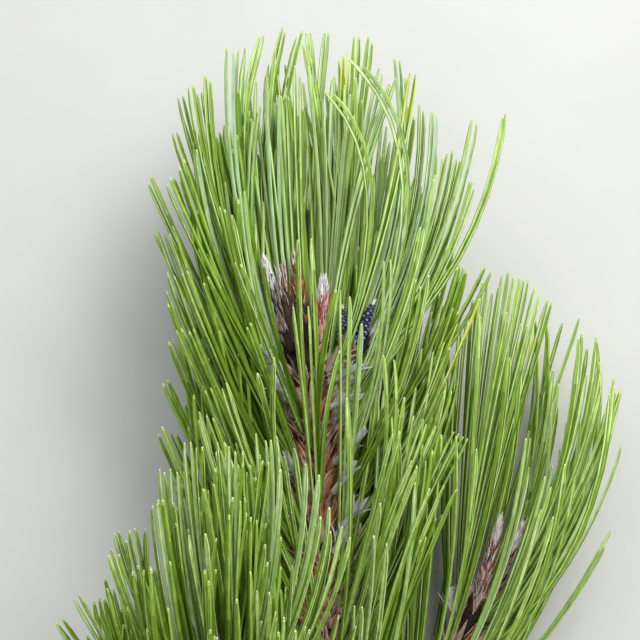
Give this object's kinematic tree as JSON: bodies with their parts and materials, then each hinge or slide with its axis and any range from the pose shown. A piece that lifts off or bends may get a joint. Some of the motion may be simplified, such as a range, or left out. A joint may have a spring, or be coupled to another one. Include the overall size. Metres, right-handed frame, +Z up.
{
  "type": "cut bosnian pine branch",
  "caption": "Cut end of a dwarf Bosnian pine branch lying on a table: a leader with buds and small cones, two side shoots, and dense paired needles.",
  "frame": {"origin": "middle of the branch's outline, on the table that it lies on", "axes": "+Y along the branch from the cut end towards the needle tips, +Z up from the table, +X to the right as seen from above with the tip away from the viewer"},
  "size_m": [0.1357, 0.2309, 0.1107],
  "materials": {
    "bark": "rough reddish-brown bark with papery scales",
    "needles": "stiff green needles, smooth, with pale yellow-green edges",
    "bud_scales": "dry overlapping bud scales with white resin tips",
    "cones": "blue-violet knobbly young cone scales"
  },
  "bodies": {
    "root": {"leader_stem": "bark", "left_bough": "bark", "right_bough": "bark", "cone_twig": "bark", "leader_needles_lower_right": "needles", "leader_needles_lower_front": "needles", "leader_needles_lower_left": "needles", "leader_needles_lower_back": "needles", "leader_needles_upper_right": "needles", "leader_needles_upper_front": "needles", "leader_needles_upper_left": "needles", "leader_needles_upper_back": "needles", "leader_needles_top": "needles", "left_shoot_needles_lower": "needles", "left_shoot_needles_upper": "needles", "right_shoot_needles_lower": "needles", "right_shoot_needles_upper": "needles", "leader_bud_middle": "bud_scales", "leader_bud_left": "bud_scales", "leader_bud_front": "bud_scales", "leader_bud_right": "bud_scales", "left_shoot_bud_right": "bud_scales", "left_shoot_bud_middle": "bud_scales", "left_shoot_bud_left": "bud_scales", "right_shoot_bud_outer": "bud_scales", "right_shoot_bud_middle": "bud_scales", "right_shoot_bud_inner": "bud_scales", "small_cone_right": "cones", "small_cone_middle": "cones", "small_cone_left": "cones"}
  },
  "joints": []
}
